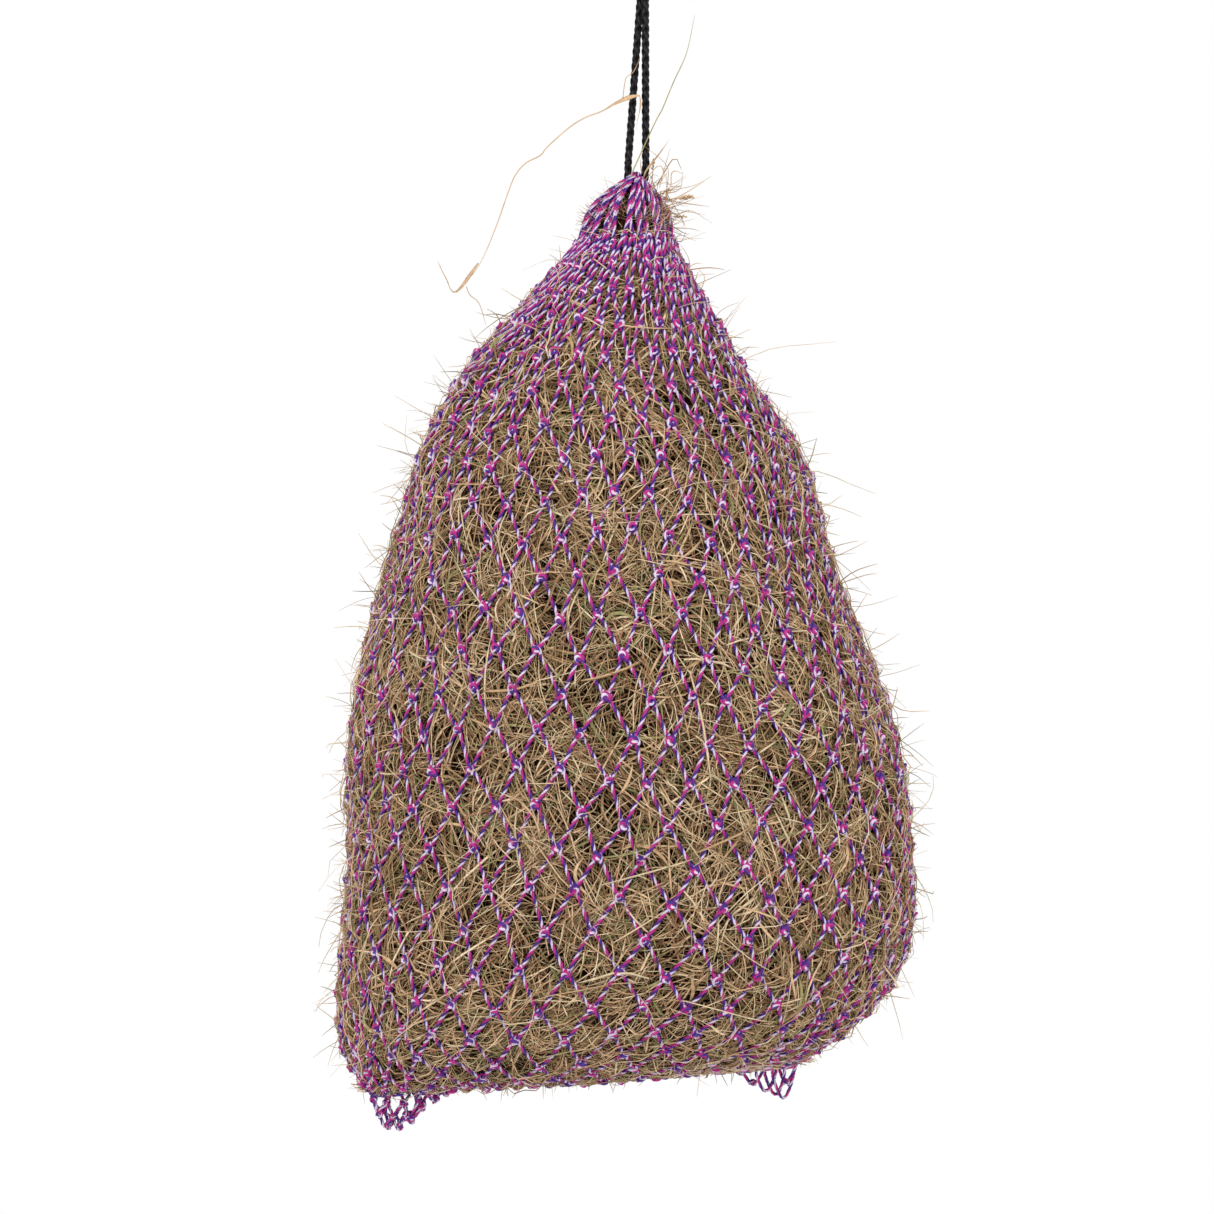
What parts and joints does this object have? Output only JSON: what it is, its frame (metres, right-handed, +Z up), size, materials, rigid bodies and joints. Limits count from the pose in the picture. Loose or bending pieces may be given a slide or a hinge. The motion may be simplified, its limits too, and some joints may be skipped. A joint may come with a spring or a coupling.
{
  "type": "hay net",
  "caption": "Knotted diamond-mesh net bag full of hay, gathered at the neck and hung from a doubled drawcord.",
  "frame": {"origin": "inside top of the hanging loop, where it rests on a hook or tie ring", "axes": "+Z up along the hanging cord, +X to the right seen from the front, the front faces -Y"},
  "size_m": [0.4805, 0.417, 1.0409],
  "materials": {
    "black_cord": "braided, satin",
    "net_twine": "laid twine in violet, magenta and white, slight sheen",
    "hay": "dry, matt grass stalks"
  },
  "bodies": {
    "hook_loop": {"hanging_loop_crown": "black_cord"},
    "tied_end": {"hanging_loop_legs": "black_cord", "cord_end_knot": "black_cord", "cord_tails": "black_cord"},
    "cord_runs": {"cord_run_left": "black_cord", "cord_run_right": "black_cord"},
    "bag": {"bottom_lacing": "net_twine", "cord_neck_turn": "black_cord", "hay_fill": "hay", "head_loops": "net_twine", "left_corner_ear": "net_twine", "net_course_01": "net_twine", "net_course_02": "net_twine", "net_course_03": "net_twine", "net_course_04": "net_twine", "net_course_05": "net_twine", "net_course_06": "net_twine", "net_course_07": "net_twine", "net_course_08": "net_twine", "net_course_09": "net_twine", "net_course_10": "net_twine", "net_course_11": "net_twine", "net_course_12": "net_twine", "net_course_13": "net_twine", "net_course_14": "net_twine", "net_course_15": "net_twine", "net_course_16": "net_twine", "net_course_17": "net_twine", "net_course_18": "net_twine", "net_course_19": "net_twine", "net_course_20": "net_twine", "net_course_21": "net_twine", "net_course_22": "net_twine", "net_course_23": "net_twine", "net_course_24": "net_twine", "net_course_25": "net_twine", "net_course_26": "net_twine", "net_course_27": "net_twine", "right_corner_ear": "net_twine"}
  },
  "joints": [
    {"name": "side_swing", "type": "hinge", "parent": "hook_loop", "child": "tied_end", "pos_m": [0, 0, -0.0063], "axis": [0, 1, 0], "range_deg": [-20, 20]},
    {"name": "front_swing", "type": "hinge", "parent": "tied_end", "child": "cord_runs", "pos_m": [0, 0, -0.046], "axis": [1, 0, 0], "range_deg": [-20, 20]},
    {"name": "bag_twist", "type": "hinge", "parent": "cord_runs", "child": "bag", "pos_m": [0, 0, -0.207], "axis": [0, 0, 1], "range_deg": [-60, 60]}
  ]
}
